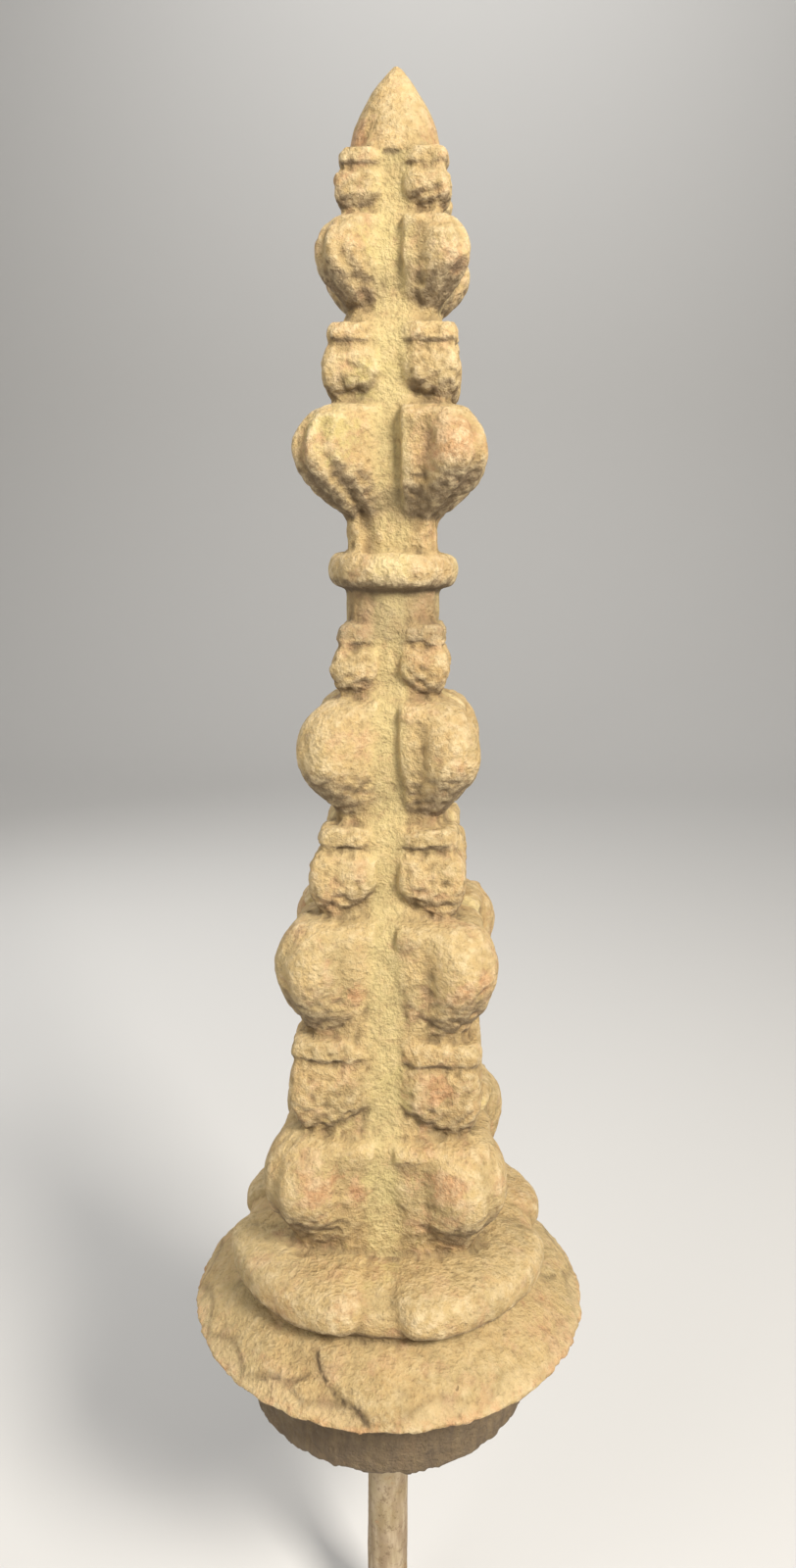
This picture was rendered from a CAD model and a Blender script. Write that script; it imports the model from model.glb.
"""Looks of a cast iron finial: the worn casting and its rod, with their rust, dust and grain.

Metres, +Z up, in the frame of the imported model. The origin is the middle of the rod's lower end, -Y
is the front, and the four columns of cups and buds stand on the diagonals.
"""

import logging
import math
from dataclasses import dataclass
from enum import Enum

import bmesh
import bpy
import numpy as np
from mathutils import Matrix, Vector, noise


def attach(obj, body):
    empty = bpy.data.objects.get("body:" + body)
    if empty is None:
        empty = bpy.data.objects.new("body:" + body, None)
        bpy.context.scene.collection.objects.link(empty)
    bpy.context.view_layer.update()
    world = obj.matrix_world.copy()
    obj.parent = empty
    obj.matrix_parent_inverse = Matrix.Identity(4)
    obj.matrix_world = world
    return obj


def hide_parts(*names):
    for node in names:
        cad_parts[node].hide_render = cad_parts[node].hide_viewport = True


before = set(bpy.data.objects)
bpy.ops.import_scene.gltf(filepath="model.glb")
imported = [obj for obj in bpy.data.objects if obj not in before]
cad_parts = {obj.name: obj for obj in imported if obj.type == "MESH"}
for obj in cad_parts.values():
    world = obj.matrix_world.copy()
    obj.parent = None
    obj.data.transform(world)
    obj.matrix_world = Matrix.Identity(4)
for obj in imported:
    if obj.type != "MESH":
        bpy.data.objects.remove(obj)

LOG = logging.getLogger("cast_iron_finial")
QUARTER_TURN = 0.5 * math.pi


class Column(Enum):
    """The four columns of the spire, as quarter turns from the front right one."""

    FRONT_RIGHT = 0
    BACK_RIGHT = 1
    BACK_LEFT = 2
    FRONT_LEFT = 3


class Tint(Enum):
    """Linear colours of the weathered iron and the studio."""

    SAND = (0.580, 0.415, 0.190)
    OCHRE = (0.470, 0.305, 0.130)
    OLIVE = (0.330, 0.258, 0.120)
    UMBER = (0.150, 0.094, 0.048)
    PIT = (0.085, 0.055, 0.030)
    BLUSH = (0.520, 0.310, 0.165)
    ASH = (0.150, 0.108, 0.067)
    RUST = (0.400, 0.185, 0.085)
    EMBER = (0.600, 0.310, 0.150)
    LICHEN = (0.540, 0.450, 0.170)
    STRAW = (0.620, 0.497, 0.230)
    DUST = (0.680, 0.505, 0.245)
    PALE = (0.760, 0.600, 0.350)
    ROD_BROWN = (0.300, 0.215, 0.130)
    ROD_PALE = (0.470, 0.370, 0.245)
    FLOOR = (0.640, 0.630, 0.610)


def step_between(value: float, low: float, high: float) -> float:
    """Return a smooth step from 0 at low to 1 at high."""
    share = min(1.0, max(0.0, (value - low) / (high - low)))
    return share * share * (3.0 - 2.0 * share)


def bump(value: float, middle: float, spread: float) -> float:
    """Return a smooth hill of height 1 at its middle, which ends a spread away from it."""
    return max(0.0, 1.0 - ((value - middle) / spread) ** 2)


def curve_at(points: tuple[tuple[float, float], ...], place: float) -> float:
    """Read a curve given by points in rising order.

    Args:
        points: Pairs of a place and its value.
        place: Where to read the curve; beyond its ends it is level.

    Returns:
        The value at the place, straight between the points.
    """
    return float(np.interp(place, [point[0] for point in points], [point[1] for point in points]))


def rounded_plan(angle: float, half: float, power: float) -> tuple[float, float]:
    """Return the point at an angle on a rounded plan: power 2 is a circle, more is a box."""
    cos_a = math.cos(angle)
    sin_a = math.sin(angle)
    size = half * (abs(cos_a) ** power + abs(sin_a) ** power) ** (-1.0 / power)
    return size * cos_a, size * sin_a


def soft_bump(value: float, middle: float, spread: float) -> float:
    """Return a hill of height 1 that runs out level at both its feet."""
    return bump(value, middle, spread) ** 2


def soft_least(first: float, second: float, reach: float) -> float:
    """Return the lesser of two values, with a rounded change from one to the other."""
    share = min(1.0, max(0.0, 0.5 + 0.5 * (second - first) / reach))
    return second + (first - second) * share - reach * share * (1.0 - share)


def round_depth(place: float, outer: float, radius: float) -> float:
    """Return how far a rounded corner lies behind its face at a place across the face."""
    across = abs(place - (outer - radius)) / radius
    return radius * (1.0 - math.sqrt(max(0.0, 1.0 - across * across))) + 2.0 * radius * max(0.0, across - 1.0)


def corner_plan(inner: float, outer: float, depths: list[float], diagonal: float, level: float) -> list[Vector]:
    """Draw the plan of a body that stands in the front right corner, alike on both its faces.

    Args:
        inner: Distance of its two inner walls from the valleys' middle planes.
        outer: Distance of its two faces from the axis.
        depths: How far the face lies behind its outer plane, evenly spaced from the wall to the diagonal.
        diagonal: Distance from the axis, along x and along y, of its outermost corner.
        level: Height of the plan.

    Returns:
        The plan's points in one loop, from the inner corner round by the front.
    """
    walls = 6
    face = []
    for index, depth in enumerate(depths):
        face.append((inner + (diagonal - inner) * index / len(depths), depth - outer))
    first = face[0][1]
    front = [(inner, -inner + (first + inner) * step / walls) for step in range(walls)] + face
    loop = [*front, (diagonal, -diagonal)]
    loop += [(-plan_y, -plan_x) for plan_x, plan_y in reversed(front[1:])]
    return [Vector((plan_x, plan_y, level)) for plan_x, plan_y in loop]


@dataclass(frozen=True)
class Ring:
    """One level ring of a turned or squared body."""

    z: float
    half: float
    x: float = 0.0
    y: float = 0.0
    power: float = 2.0

    def points(self, sides: int, turn: float = 0.0) -> list[Vector]:
        """Return the ring's points, counted anticlockwise from the turn."""
        points = []
        for side in range(sides):
            plan_x, plan_y = rounded_plan(turn + 2.0 * math.pi * side / sides, self.half, self.power)
            points.append(Vector((self.x + plan_x, self.y + plan_y, self.z)))
        return points


def loft(rows: list[list[Vector]]) -> bmesh.types.BMesh:
    """Draw a ball's own faces over rows of points, to make one closed body.

    Args:
        rows: Rows of points from the top down, all with the same number of points.

    Returns:
        The body, with a pole at the middle of its first row and of its last.
    """
    sides = len(rows[0])
    count = len(rows)
    body = bmesh.new()
    bmesh.ops.create_uvsphere(body, u_segments=sides, v_segments=count + 1, radius=1.0)
    for vert in body.verts:
        polar = math.acos(max(-1.0, min(1.0, vert.co.z)))
        row = round(polar / math.pi * (count + 1)) - 1
        if row < 0 or row >= count:
            points = rows[0] if row < 0 else rows[-1]
            vert.co = sum(points, Vector()) / sides
            continue
        side = round(math.atan2(vert.co.y, vert.co.x) / (2.0 * math.pi) * sides) % sides
        vert.co = rows[row][side]
    bmesh.ops.recalc_face_normals(body, faces=body.faces)
    return body


@dataclass(frozen=True)
class Tier:
    """What a cup and a bud share: a place in the spire and how worn its front left copy is."""

    name: str
    height: float
    left_wear: float

    VALLEY_HALF = 0.0036
    OVERLAP = 0.0012

    def body(self, foot: float, column: Column) -> bmesh.types.BMesh:
        """Return the tier's body in one column, standing on its foot height."""
        raise NotImplementedError

    def wear(self, column: Column) -> float:
        """Return how much of its carving a copy has lost."""
        return self.left_wear if column is Column.FRONT_LEFT else 0.0


@dataclass(frozen=True)
class Cup(Tier):
    """A square cup: a ledge for a lip over a swollen body whose lower inner corner is cut away."""

    lip_half: float
    body_half: float
    foot_half: float
    lip_height: float

    LIP_OVERHANG = 0.0012
    LIP_HOLLOW = 0.0015
    LIP_CROWN = 0.0010
    CORNER_CUT = 0.42
    CORNER_ROUND = 0.17
    DRAFT_RUN = 0.20
    DRAFT_SLOPE = 0.55
    FACE_POINTS = 36

    def outline(self, share: float) -> tuple[float, float, float]:
        """Return the outer half width, the inner inset and the face's hollow at a share of the height."""
        recess = min(self.lip_half, self.body_half) - self.LIP_OVERHANG
        cut = self.CORNER_CUT * (self.body_half - self.VALLEY_HALF)
        if share >= 0.55:
            rise = (share - 0.55) / 0.45
            outer = self.body_half - (self.body_half - recess) * rise ** 3
            return outer, 0.0006 * rise, self.LIP_HOLLOW * rise ** 3
        drop = (0.55 - share) / 0.55
        return self.body_half - (self.body_half - self.foot_half) * drop ** 2.2, cut * drop ** 1.8, 0.0

    def body(self, foot: float, column: Column) -> bmesh.types.BMesh:
        """Return the cup in one column, with its lip worn back by the copy's wear."""
        top = foot + self.height
        lip_low = top - self.lip_height
        lip = self.lip_half - 0.0012 * self.wear(column)
        levels = [
            (top + self.OVERLAP, lip - self.LIP_CROWN - 0.0008, 0.0010, 0.0),
            (top + 0.0002, lip - self.LIP_CROWN, 0.0006, 0.0),
            (top - 0.0012, lip - 0.0003, 0.0, 0.0),
            (lip_low + 0.0010, lip, 0.0, 0.0),
            (lip_low + 0.0002, lip - 0.0004, 0.0, 0.0),
        ]
        for step in range(11):
            share = 1.0 - step / 10.0
            outer, inset, hollow = self.outline(share)
            levels.append((foot + share * (lip_low - 0.0008 - foot), outer, inset, hollow))
        outer, inset, hollow = self.outline(0.0)
        levels.append((foot - self.OVERLAP, outer - 0.0010, inset, hollow))
        return loft([self.plan(*row) for row in levels])

    def plan(self, level: float, outer: float, inset: float, hollow: float) -> list[Vector]:
        """Return the square plan at one level, with drafted inner edges and a hollow mid face."""
        inner = self.VALLEY_HALF + inset
        radius = self.CORNER_ROUND * outer
        diagonal = outer - radius * (1.0 - math.sqrt(0.5))
        start = inner + self.DRAFT_RUN * self.body_half
        depths = []
        for index in range(self.FACE_POINTS):
            place = inner + (diagonal - inner) * index / self.FACE_POINTS
            rounding = round_depth(place, outer, radius) if place > outer - radius else 0.0
            draft = self.DRAFT_SLOPE * max(0.0, start - place)
            depths.append(rounding + draft + hollow * soft_bump(place, 0.58 * outer, 0.40 * outer))
        return corner_plan(inner, outer, depths, diagonal, level)


@dataclass(frozen=True)
class Bud(Tier):
    """A lobed bud: a ball at its outer corner and a strip beside each valley, over a stem."""

    reach: float
    reach_height: float
    foot_half: float
    shoulder_half: float
    foot_valley: float
    neck_height: float
    ball_foot: float
    hood_height: float
    recess: float
    sink: float
    ball_share: float
    groove: float

    VALLEY_STEP = 0.0026
    FLOOR_GAP = 0.0004
    FLOOR_SWELL = 0.50
    STRIP_FALL = 0.050
    STRIP_PLACE = 0.29
    HOOD_RISE = 0.032
    HOOD_SLANT = 0.35
    HOOD_SOFTNESS = 0.0030
    HOOD_NOTCH = 0.014
    CORNER_SPREAD = 0.115
    SOFTNESS = 0.024
    FACE_POINTS = 46
    ROWS = 60

    def half_at(self, height: float) -> float:
        """Return the half width of the plain bud: a stem, a swelling and a rounded shoulder."""
        if height >= self.reach_height:
            rise = min(1.0, (height - self.reach_height) / (self.height - self.reach_height))
            swell = math.sqrt(1.0 - rise * rise)
            return self.shoulder_half + (self.reach - self.shoulder_half) * swell
        return self.foot_half + (self.reach - self.foot_half) * self.swell_at(height)

    def swell_at(self, height: float) -> float:
        """Return how far the bud has swollen over its stem, from 0 at the neck to 1 at its widest."""
        rise = min(1.0, max(0.0, (height - self.neck_height) / (self.reach_height - self.neck_height)))
        return math.sin(0.5 * math.pi * rise)

    def floor_at(self, height: float) -> float:
        """Return how far the valley's floor beside the bud stands from the axis."""
        strip = self.strip_at(height)
        sunk = strip - self.FLOOR_GAP - (self.VALLEY_STEP - self.FLOOR_GAP) * self.swell_at(height)
        steady = self.foot_half + self.FLOOR_SWELL * (strip - self.foot_half) - self.FLOOR_GAP
        return min(sunk, steady)

    def valley_at(self, height: float) -> float:
        """Return the half width of the valley, wide at the bud's foot and narrow at its top."""
        rise = min(1.0, max(0.0, height / self.reach_height))
        return self.foot_valley + (self.VALLEY_HALF - self.foot_valley) * rise

    def strip_at(self, height: float) -> float:
        """Return how far the strips stand from the axis, flush with the stem at its foot."""
        return self.foot_half + (self.reach * (1.0 - self.sink) - self.foot_half) * self.swell_at(height)

    def face_depth(self, place: float, height: float, wear: float) -> float:
        """Return how far the face lies behind its outer plane.

        Args:
            place: Distance across the face from the axis.
            height: Height above the bud's foot.
            wear: Share of the carving that has worn off.

        Returns:
            The depth, least on the front of the ball.
        """
        inner = self.valley_at(height)
        outer = self.half_at(height)
        radius = self.ball_share * outer
        crest = max(inner + 0.0005, self.STRIP_PLACE * outer)
        beside = max(0.0, (crest - place) / (crest - inner))
        hood_low = self.height - self.hood_height + self.HOOD_SLANT * (place - crest)
        hood = self.HOOD_RISE * step_between(height, hood_low - self.HOOD_SOFTNESS, hood_low + self.HOOD_SOFTNESS)
        notch = self.HOOD_NOTCH * soft_bump(height, hood_low - 0.5 * self.hood_height, self.hood_height)
        front = self.strip_at(height) + self.reach * (hood - notch * min(1.0, 2.0 * beside)) * (1.0 - wear)
        sink = max(0.0, outer - front)
        fall = self.STRIP_FALL * self.reach * beside ** 2 * min(1.0, height / self.reach_height)
        carved = soft_least(round_depth(place, outer, radius), sink + fall, self.SOFTNESS * self.reach)
        flank = max(0.0, outer - radius - place) / (outer - radius - inner)
        smooth = max(0.0, outer - self.floor_at(height)) * flank ** 1.5
        if place > outer - radius:
            smooth = round_depth(place, outer, radius)
        below = 1.0 - step_between(height, 0.72 * self.ball_foot, 1.08 * self.ball_foot)
        under = self.recess * self.reach * below * step_between(place, crest, crest + 0.22 * outer)
        return carved + (smooth - carved) * wear + under

    def body(self, foot: float, column: Column) -> bmesh.types.BMesh:
        """Return the bud in one column, with its groove along the corner."""
        wear = self.wear(column)
        rows = []
        for row in range(self.ROWS + 1):
            height = self.height * (1.0 - row / self.ROWS)
            inner = self.valley_at(height)
            outer = self.half_at(height)
            diagonal = outer - self.ball_share * outer * (1.0 - math.sqrt(0.5))
            depths = []
            for index in range(self.FACE_POINTS):
                place = inner + (diagonal - inner) * index / self.FACE_POINTS
                depths.append(self.face_depth(place, height, wear))
            level = foot + (height if row < self.ROWS else -self.OVERLAP)
            points = corner_plan(inner, outer, depths, diagonal, level)
            fade = 1.0 - step_between(height, self.height - 2.0 * self.hood_height, self.height)
            for point in points:
                gap = math.hypot(point.x - diagonal, point.y + diagonal)
                pull = self.groove * self.reach * fade * soft_bump(gap, 0.0, self.CORNER_SPREAD * outer)
                point.x -= pull * math.sqrt(0.5)
                point.y += pull * math.sqrt(0.5)
            rows.append(points)
        return loft(rows)


@dataclass(frozen=True)
class Spire:
    """The tiers of cups and buds, the shaft between them, the ringed neck and the tip."""

    foot: float = 0.1880
    neck_bottom: float = 0.4060
    ring_bottom: float = 0.4188
    ring_top: float = 0.4310
    tip_bottom: float = 0.5580
    tip_height: float = 0.0308
    tip_radius: float = 0.0160
    neck_radius: float = 0.0163
    ring_radius: float = 0.0228
    shaft_foot_radius: float = 0.0310
    cup_relief: float = 0.0033
    overlap: float = 0.0012
    lower_tiers: tuple[Tier, ...] = (
        Bud("bud_j", 0.0430, 0.30, 0.0430, 0.0260, 0.0340, 0.0290, 0.0125, 0.0020, 0.0145, 0.0055, 0.040, 0.145, 0.36, 0.035),
        Cup("cup_i", 0.0330, 0.25, 0.0332, 0.0338, 0.0290, 0.0060),
        Bud("bud_h", 0.0430, 0.55, 0.0384, 0.0270, 0.0295, 0.0250, 0.0100, 0.0030, 0.0110, 0.0055, 0.020, 0.15, 0.34, 0.022),
        Cup("cup_g", 0.0300, 0.35, 0.0248, 0.0272, 0.0230, 0.0055),
        Bud("bud_f", 0.0450, 0.95, 0.0314, 0.0260, 0.0188, 0.0165, 0.0075, 0.0050, 0.0120, 0.0050, 0.0, 0.17, 0.33, 0.012),
        Cup("cup_e", 0.0240, 0.60, 0.0189, 0.0203, 0.0160, 0.0055),
    )
    upper_tiers: tuple[Tier, ...] = (
        Bud("bud_d", 0.0485, 0.85, 0.0322, 0.0320, 0.0152, 0.0172, 0.0045, 0.0110, 0.0190, 0.0050, 0.0, 0.19, 0.32, 0.060),
        Cup("cup_c", 0.0240, 0.40, 0.0220, 0.0229, 0.0185, 0.0050),
        Bud("bud_b", 0.0350, 0.85, 0.0254, 0.0220, 0.0148, 0.0153, 0.0040, 0.0060, 0.0120, 0.0035, 0.0, 0.17, 0.34, 0.050),
        Cup("cup_a", 0.0195, 0.20, 0.0180, 0.0190, 0.0155, 0.0045),
    )

    def feet(self) -> list[tuple[Tier, float]]:
        """Return every tier with the height of its foot, from the collar up."""
        feet = []
        for level, tiers in ((self.foot, self.lower_tiers), (self.ring_top, self.upper_tiers)):
            for tier in tiers:
                feet.append((tier, level))
                level += tier.height
        return feet

    def columns(self) -> list[bmesh.types.BMesh]:
        """Return the body of every tier in every column, turned to its place."""
        bodies = []
        for tier, foot in self.feet():
            for column in Column:
                body = tier.body(foot, column)
                turn = Matrix.Rotation(column.value * QUARTER_TURN, 4, "Z")
                bmesh.ops.transform(body, matrix=turn, verts=body.verts)
                bodies.append(body)
        return bodies

    def floor_points(self) -> tuple[tuple[float, float], ...]:
        """Return the heights and half widths of the valley floors, from the collar up."""
        points = [(self.foot - 0.0185, self.shaft_foot_radius)]
        for tier, foot in self.feet():
            if isinstance(tier, Cup):
                half = tier.lip_half - self.cup_relief
                points.append((foot + 0.15 * tier.height, half))
                points.append((foot + tier.height, half))
            else:
                swelling = tier.reach_height - tier.neck_height
                for share in (0.0, 0.25, 0.5, 0.75, 1.0):
                    height = tier.neck_height + share * swelling
                    points.append((foot + height, tier.floor_at(height)))
                points.append((foot + tier.height - tier.hood_height, tier.floor_at(tier.reach_height)))
        return tuple(sorted(points))

    def shaft(self) -> bmesh.types.BMesh:
        """Return the shaft whose flats are the valley floors, softened from tier to tier."""
        points = self.floor_points()
        rows = []
        steps = 150
        low = points[0][0]
        high = self.tip_bottom + self.overlap
        for step in range(steps + 1):
            level = high + (low - high) * step / steps
            if self.neck_bottom < level < self.ring_top:
                half = 0.93 * self.neck_radius
            else:
                near = [curve_at(points, level + offset) for offset in (-0.004, -0.002, 0.0, 0.002, 0.004)]
                half = sum(near) / len(near)
            rows.append(Ring(level, half, power=9.0).points(40, 0.0))
            for point in rows[-1]:
                corner = 1.0 - 0.12 * bump(abs(abs(point.x) - abs(point.y)), 0.0, 0.5 * half)
                point.x *= corner
                point.y *= corner
        return loft(rows)

    def tip(self) -> bmesh.types.BMesh:
        """Return the pointed tip, like a blunt bullet."""
        rows = []
        for step in range(25):
            share = math.sin(0.5 * math.pi * (1.0 - step / 24.0)) * 0.998
            radius = self.tip_radius * (1.0 - share ** 1.6) ** 0.8
            rows.append(Ring(self.tip_bottom + self.tip_height * share, radius, power=2.1).points(48))
        rows.append(Ring(self.tip_bottom - self.overlap, 0.9 * self.tip_radius).points(48))
        return loft(rows)

    def neck(self) -> bmesh.types.BMesh:
        """Return the round neck with the thick ring over it."""
        middle = 0.5 * (self.ring_bottom + self.ring_top)
        half_height = 0.5 * (self.ring_top - self.ring_bottom)
        swell = self.ring_radius - self.neck_radius
        rows = [Ring(self.ring_top + 0.006, self.neck_radius - 0.0035).points(64)]
        rows.append(Ring(self.ring_top + 0.0004, self.neck_radius - 0.0012).points(64))
        for step in range(17):
            angle = math.radians(80.0 - 10.0 * step)
            radius = self.neck_radius + swell * math.cos(angle) ** 0.55
            rows.append(Ring(middle + half_height * math.sin(angle), radius).points(64))
        rows.append(Ring(self.ring_bottom - 0.0004, self.neck_radius).points(64))
        rows.append(Ring(self.neck_bottom - 0.004, self.neck_radius).points(64))
        return loft(rows)

    def bodies(self) -> list[bmesh.types.BMesh]:
        """Return every body of the spire."""
        return [*self.columns(), self.shaft(), self.neck(), self.tip()]


@dataclass(frozen=True)
class Foot:
    """The collar of four thick lobes, the carved skirt, the drum and the rod's socket."""

    drum_bottom: float = 0.1200
    drum_height: float = 0.0325
    drum_bottom_radius: float = 0.0530
    drum_top_radius: float = 0.0550
    rim_radius: float = 0.0728
    rim_thickness: float = 0.0030
    skirt_rise: float = 0.0140
    skirt_neck_radius: float = 0.0520
    skirt_belly: float = 0.0014
    collar_height: float = 0.0185
    collar_radius: float = 0.0600
    collar_inner_radius: float = 0.0170
    collar_undercut: float = 0.0030
    collar_slope: float = 0.26
    lobe_half_angle: float = 42.0
    socket_radius: float = 0.0088
    socket_depth: float = 0.0290
    petal_step: float = 0.0018
    arch_depth: float = 0.0009
    arch_azimuths: tuple[float, ...] = (
        -160.0, -138.0, -116.0, -94.0, -72.0, -50.0, -29.0, -11.0, 17.0, 41.0, 64.0, 87.0, 110.0, 133.0, 156.0, 178.0,
    )
    petal_turns: tuple[tuple[float, float], ...] = (
        (0.0, 1.0),
        (-47.0, 0.24),
        (-90.0, 0.45),
        (-132.0, 0.55),
        (-174.0, 0.45),
        (145.0, 0.50),
        (102.0, 0.45),
        (60.0, 0.12),
    )
    petal_edge: tuple[tuple[float, float], ...] = (
        (0.0550, -22.0),
        (0.0585, -20.0),
        (0.0626, -16.5),
        (0.0656, -11.3),
        (0.0675, -6.9),
        (0.0689, -3.7),
        (0.0719, -0.4),
        (0.0735, 1.5),
    )
    fold_depth: float = 0.0007
    fold_line: tuple[tuple[float, float], ...] = (
        (0.0620, -21.0),
        (0.0641, -22.7),
        (0.0659, -24.4),
        (0.0670, -28.4),
        (0.0680, -33.0),
        (0.0692, -35.6),
    )

    @property
    def collar_seat(self) -> float:
        """Return the height of the skirt's top, where the collar stands."""
        return self.drum_bottom + self.drum_height + self.rim_thickness + self.skirt_rise

    def petal_relief(self, azimuth: float, radius: float) -> float:
        """Return the relief of the worn petals on the skirt.

        Args:
            azimuth: Plan angle in degrees from the front, growing to the right.
            radius: Plan distance from the axis.

        Returns:
            The relief, 0 on a petal and negative where the carving steps down.
        """
        relief = 0.0
        for turn, depth in self.petal_turns:
            gap = self.edge_gap(azimuth, radius, turn)
            if -26.0 < gap < 8.0:
                cliff = 1.0 - step_between(gap, -0.8, 0.8)
                fade = step_between(gap, -24.0, -2.0)
                reach = step_between(radius, 0.0555, 0.0600)
                relief -= self.petal_step * depth * cliff * fade * reach
        relief -= self.fold_depth * self.fold_mask(azimuth, radius)
        return relief - self.arch_depth * self.arch_keep(azimuth) * self.arch_mask(azimuth, radius)

    def fold_mask(self, azimuth: float, radius: float) -> float:
        """Return 1 along the short fold that meets the front petal's edge and 0 away from it."""
        if not self.fold_line[0][0] < radius < self.fold_line[-1][0]:
            return 0.0
        gap = (azimuth - curve_at(self.fold_line, radius)) * math.radians(1.0) * radius
        return soft_bump(gap, 0.0, 0.0017)

    @staticmethod
    def arch_keep(azimuth: float) -> float:
        """Return how much of the arches is left, least on the front right."""
        return 1.0 - 0.75 * soft_bump(azimuth, 48.0, 62.0)

    def edge_gap(self, azimuth: float, radius: float, turn: float) -> float:
        """Return the angle from a petal's edge, positive on the petal."""
        edge = curve_at(self.petal_edge, radius) + turn
        return (azimuth - edge + 180.0) % 360.0 - 180.0

    def arch_edge(self, azimuth: float) -> float:
        """Return the radius where the worn arches begin."""
        nearest = min(abs((azimuth - middle + 180.0) % 360.0 - 180.0) for middle in self.arch_azimuths)
        return 0.0672 + 0.0048 * min(1.0, nearest / 11.0) ** 2

    def arch_mask(self, azimuth: float, radius: float) -> float:
        """Return 1 under the worn arches along the rim and 0 inside the petals."""
        edge = self.arch_edge(azimuth)
        return step_between(radius, edge - 0.0004, edge + 0.0005)

    def rim_mask(self, radius: float) -> float:
        """Return 1 along the rim's rough edge."""
        return step_between(radius, self.rim_radius - 0.0024, self.rim_radius - 0.0010)

    def crease_mask(self, azimuth: float, radius: float) -> float:
        """Return how dark the crease along a petal's edge or an arch is."""
        mask = 0.40 * self.arch_keep(azimuth) * bump(radius, self.arch_edge(azimuth) - 0.0003, 0.0011)
        mask = max(mask, 0.80 * self.fold_mask(azimuth, radius))
        for turn, depth in self.petal_turns:
            gap = self.edge_gap(azimuth, radius, turn) * math.radians(1.0) * radius
            line = bump(gap, -0.0003, 0.0010) * step_between(radius, 0.0550, 0.0580)
            mask = max(mask, min(1.0, 1.3 * depth) * line)
        return mask

    def skirt(self) -> bmesh.types.BMesh:
        """Return the drum, the thin rim, the carved skirt and the throat, round the rod's socket."""
        low = self.drum_bottom
        rim_low = low + self.drum_height
        seat = self.collar_seat
        top = seat + self.collar_height
        profile = [(top, 0.0330), (top - 0.0014, 0.0440), (top - 0.0040, 0.0500), (top - 0.0072, 0.0535)]
        profile += [(top - 0.0105, 0.0545), (seat + self.collar_undercut, 0.0540)]
        profile += [(seat + 0.0012, 0.0520), (seat + 0.0002, 0.0515)]
        steps = 30
        first_skirt = len(profile)
        for step in range(steps + 1):
            share = step / steps
            radius = self.skirt_neck_radius + (self.rim_radius - self.skirt_neck_radius) * share
            profile.append((seat - self.skirt_rise * share + self.skirt_belly * math.sin(math.pi * share), radius))
        last_skirt = len(profile) - 1
        profile += [(rim_low + 0.0012, self.rim_radius + 0.0002), (rim_low + 0.0002, self.rim_radius - 0.0008)]
        profile += [(rim_low + 0.0002, self.drum_top_radius + 0.0020), (rim_low - 0.0008, self.drum_top_radius)]
        for step in range(1, 12):
            share = step / 12.0
            slope = self.drum_bottom_radius - self.drum_top_radius
            profile.append((rim_low - self.drum_height * share, self.drum_top_radius + slope * share))
        profile += [(low + 0.0010, self.drum_bottom_radius), (low, self.drum_bottom_radius - 0.0012)]
        profile += [(low, 0.035), (low, self.socket_radius + 0.0004), (low + 0.0008, self.socket_radius)]
        profile += [(low + self.socket_depth, self.socket_radius)]
        rows = []
        for index, (level, radius) in enumerate(profile):
            points = Ring(level, radius).points(300)
            if first_skirt <= index <= last_skirt:
                for point in points:
                    azimuth = math.degrees(math.atan2(point.x, -point.y))
                    point.z += self.petal_relief(azimuth, radius)
            rows.append(points)
        return loft(rows)

    def collar_lobe(self) -> bmesh.types.BMesh:
        """Return one thick lobe of the collar, a ball drawn out along an arc."""
        low = self.collar_seat + self.collar_undercut
        half_height = 0.5 * (self.collar_seat + self.collar_height - low) + 0.0006
        half_width = 0.5 * (self.collar_radius - self.collar_inner_radius)
        middle = self.collar_inner_radius + half_width
        steps = 48
        rows = []
        for step in range(1, steps):
            along = math.cos(math.pi * step / steps)
            swell = max(0.0, 1.0 - abs(along) ** 9) ** 0.5
            angle = -0.25 * math.pi + along * math.radians(self.lobe_half_angle)
            points = []
            for point in Ring(0.0, swell, power=3.2).points(48):
                radius = middle + half_width * point.x
                level = low + half_height * (1.0 + point.y - self.collar_slope * max(0.0, point.x + 0.15))
                points.append(Vector((radius * math.cos(angle), radius * math.sin(angle), level)))
            rows.append(points)
        return loft(rows)

    def bodies(self) -> list[bmesh.types.BMesh]:
        """Return the skirt with its drum, and the collar's lobe in every column."""
        bodies = [self.skirt()]
        for column in Column:
            lobe = self.collar_lobe()
            turn = Matrix.Rotation(column.value * QUARTER_TURN, 4, "Z")
            bmesh.ops.transform(lobe, matrix=turn, verts=lobe.verts)
            bodies.append(lobe)
        return bodies


@dataclass(frozen=True)
class Spot:
    """A round patch on the surface, where rust or lichen has spread."""

    place: tuple[float, float, float]
    radius: float
    strength: float = 1.0


@dataclass(frozen=True)
class Groove:
    """A soft groove in the front of the casting, along a line of x and z places."""

    line: tuple[tuple[float, float], ...]
    half_width: float
    depth: float

    def cut(self, x: float, z: float) -> float:
        """Return how deep the groove is at a place seen from the front."""
        nearest = self.half_width
        for (from_x, from_z), (to_x, to_z) in zip(self.line, self.line[1:]):
            run_x, run_z = to_x - from_x, to_z - from_z
            share = ((x - from_x) * run_x + (z - from_z) * run_z) / (run_x * run_x + run_z * run_z)
            share = min(1.0, max(0.0, share))
            nearest = min(nearest, math.hypot(x - from_x - share * run_x, z - from_z - share * run_z))
        return self.depth * soft_bump(nearest, 0.0, self.half_width)


@dataclass(frozen=True)
class SkinMasks:
    """Point attributes that the finishes read."""

    edge: str = "worn_edge"
    hollow: str = "hollow"
    rust: str = "rust_spot"
    lichen: str = "lichen_spot"
    arch: str = "pale_arch"
    crease: str = "petal_crease"
    valley: str = "valley_dust"
    soot: str = "drum_soot"
    rim: str = "rim_edge"


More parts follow.
